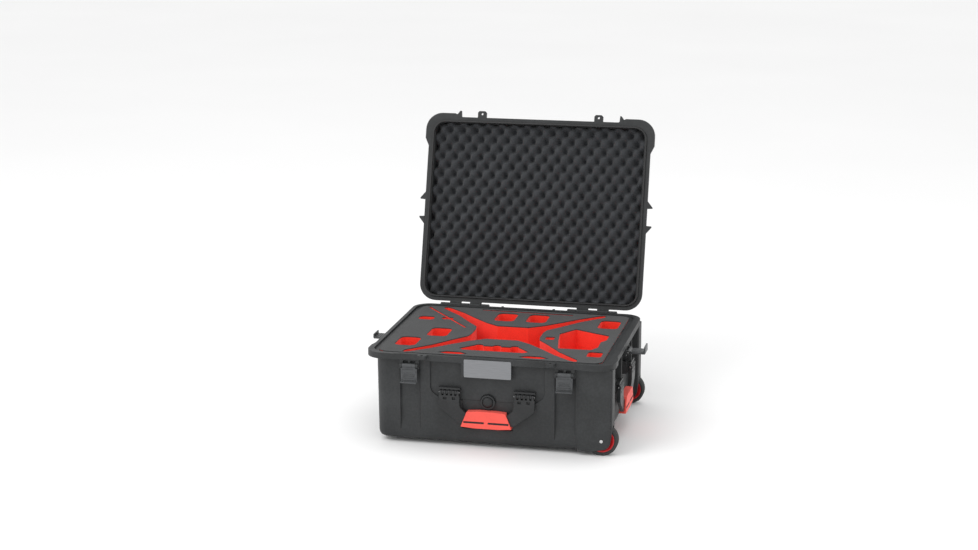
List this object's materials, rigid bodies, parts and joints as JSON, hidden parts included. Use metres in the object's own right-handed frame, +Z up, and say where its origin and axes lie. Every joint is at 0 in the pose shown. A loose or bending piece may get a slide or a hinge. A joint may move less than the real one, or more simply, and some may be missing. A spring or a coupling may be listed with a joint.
{
  "type": "wheeled hard case",
  "caption": "Wheeled hard case with a hinged lid, clasp latches, folding handles and cut-out foam for a quadcopter, lid open.",
  "frame": {"origin": "on the floor, at the middle of the underside's centre foot", "axes": "+X to the right along the case's length, towards its wheels; +Y to the back, towards the hinge; +Z up"},
  "size_m": [0.6896, 0.7124, 0.7165],
  "materials": {
    "shell": "fine moulded grain, satin",
    "seal": "matt",
    "lid_foam": "open-cell egg-crate foam",
    "red_foam": "closed-cell foam, cut faces",
    "grey_foam": "closed-cell foam",
    "label": "satin",
    "fitting": "satin",
    "valve": "satin",
    "grip": "soft matt overmould",
    "latch": "satin",
    "tyre": "matt",
    "hub": "satin",
    "steel": "brushed"
  },
  "bodies": {
    "base": {"base_shell": "shell", "foam_block": "red_foam", "foam_sheet": "grey_foam", "label_plate": "label", "valve_ring": "fitting", "hinge_pin_left": "steel", "hinge_pin_right": "steel", "axle_front": "steel", "axle_rear": "steel", "front_bracket_a": "fitting", "front_bracket_b": "fitting", "side_bracket_a": "fitting", "side_bracket_b": "fitting", "front_handle_pin_a": "steel", "front_handle_pin_b": "steel", "side_handle_pin_a": "steel", "side_handle_pin_b": "steel", "latch_pin_front_left": "steel", "latch_pin_front_right": "steel", "latch_pin_left": "steel", "latch_pin_right": "steel"},
    "lid": {"lid_shell": "shell", "lid_seal": "seal", "lid_foam": "lid_foam"},
    "front_handle": {"front_handle_frame": "fitting", "front_handle_grip": "grip"},
    "side_handle": {"side_handle_frame": "fitting", "side_handle_grip": "grip"},
    "valve": {"valve_cap": "valve"},
    "wheel_front": {"tyre_front": "tyre", "hub_front": "hub"},
    "wheel_rear": {"tyre_rear": "tyre", "hub_rear": "hub"},
    "latch_front_left": {"latch_front_left": "latch"},
    "latch_front_right": {"latch_front_right": "latch"},
    "latch_left": {"latch_left": "latch"},
    "latch_right": {"latch_right": "latch"}
  },
  "joints": [
    {"name": "lid_hinge", "type": "hinge", "parent": "base", "child": "lid", "pos_m": [0, 0.2538, 0.2234], "axis": [-1, 0, 0], "range_deg": [-106.3, 0]},
    {"name": "front_handle_swing", "type": "hinge", "parent": "base", "child": "front_handle", "pos_m": [0, -0.239, 0.137], "axis": [-1, 0, 0], "range_deg": [0, 95]},
    {"name": "side_handle_swing", "type": "hinge", "parent": "base", "child": "side_handle", "pos_m": [0.299, 0, 0.137], "axis": [0, -1, 0], "range_deg": [0, 95]},
    {"name": "valve_turn", "type": "hinge", "parent": "base", "child": "valve", "pos_m": [0.002, -0.235, 0.1165], "axis": [0, -1, 0], "range_deg": [0, 180]},
    {"name": "wheel_front_spin", "type": "hinge", "parent": "base", "child": "wheel_front", "pos_m": [0.2766, -0.215, 0.0382], "axis": [0, 1, 0], "continuous": true},
    {"name": "wheel_rear_spin", "type": "hinge", "parent": "base", "child": "wheel_rear", "pos_m": [0.2766, 0.215, 0.0382], "axis": [0, 1, 0], "continuous": true},
    {"name": "latch_front_left_swing", "type": "hinge", "parent": "base", "child": "latch_front_left", "pos_m": [-0.189, -0.2472, 0.1995], "axis": [1, 0, 0], "range_deg": [-180, 0]},
    {"name": "latch_front_right_swing", "type": "hinge", "parent": "base", "child": "latch_front_right", "pos_m": [0.189, -0.2472, 0.1995], "axis": [1, 0, 0], "range_deg": [-180, 0]},
    {"name": "latch_left_swing", "type": "hinge", "parent": "base", "child": "latch_left", "pos_m": [-0.2991, 0, 0.1995], "axis": [0, -1, 0], "range_deg": [-90, 90]},
    {"name": "latch_right_swing", "type": "hinge", "parent": "base", "child": "latch_right", "pos_m": [0.3055, 0, 0.1995], "axis": [0, 1, 0], "range_deg": [-90, 90]}
  ]
}
